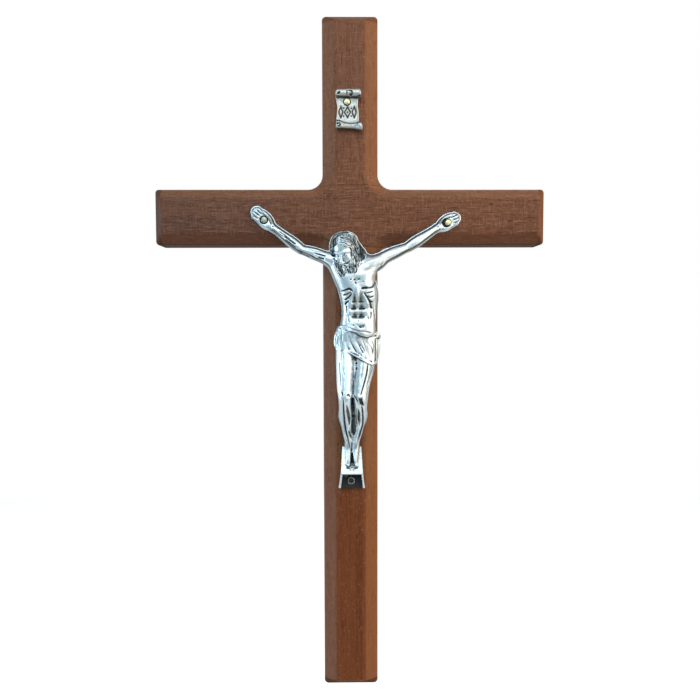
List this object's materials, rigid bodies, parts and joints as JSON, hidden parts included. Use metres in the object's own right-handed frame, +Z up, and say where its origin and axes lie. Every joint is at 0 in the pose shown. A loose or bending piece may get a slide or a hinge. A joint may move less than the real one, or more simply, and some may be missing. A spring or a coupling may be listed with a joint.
{
  "type": "wall crucifix",
  "caption": "Bevelled wooden cross with a cast metal figure, foot block and small scroll plaque pinned to it, hung on a wall screw by a keyhole slot.",
  "frame": {"origin": "middle of the crossing of the two beams, on the back face, which lies on the wall", "axes": "+Z up along the upright, +X to the right as the viewer faces the front, +Y into the wall"},
  "size_m": [0.1462, 0.0274, 0.254],
  "materials": {
    "upright_wood": "satin lacquer, grain along the upright",
    "crossbar_wood": "satin lacquer, grain along the crossbar",
    "figure_metal": "polished silver tone with dark antiqued recesses",
    "scroll_metal": "polished silver tone with dark antiqued recesses",
    "pale_pin": "pale brass, domed",
    "grey_pin": "grey steel, domed",
    "dark_pin": "dark steel, domed"
  },
  "bodies": {
    "root": {"upright": "upright_wood", "crossbar": "crossbar_wood", "corpus": "figure_metal", "titulus_scroll": "scroll_metal", "titulus_pin": "pale_pin", "left_hand_pin": "grey_pin", "right_hand_pin": "pale_pin", "foot_pin": "dark_pin"}
  },
  "joints": []
}
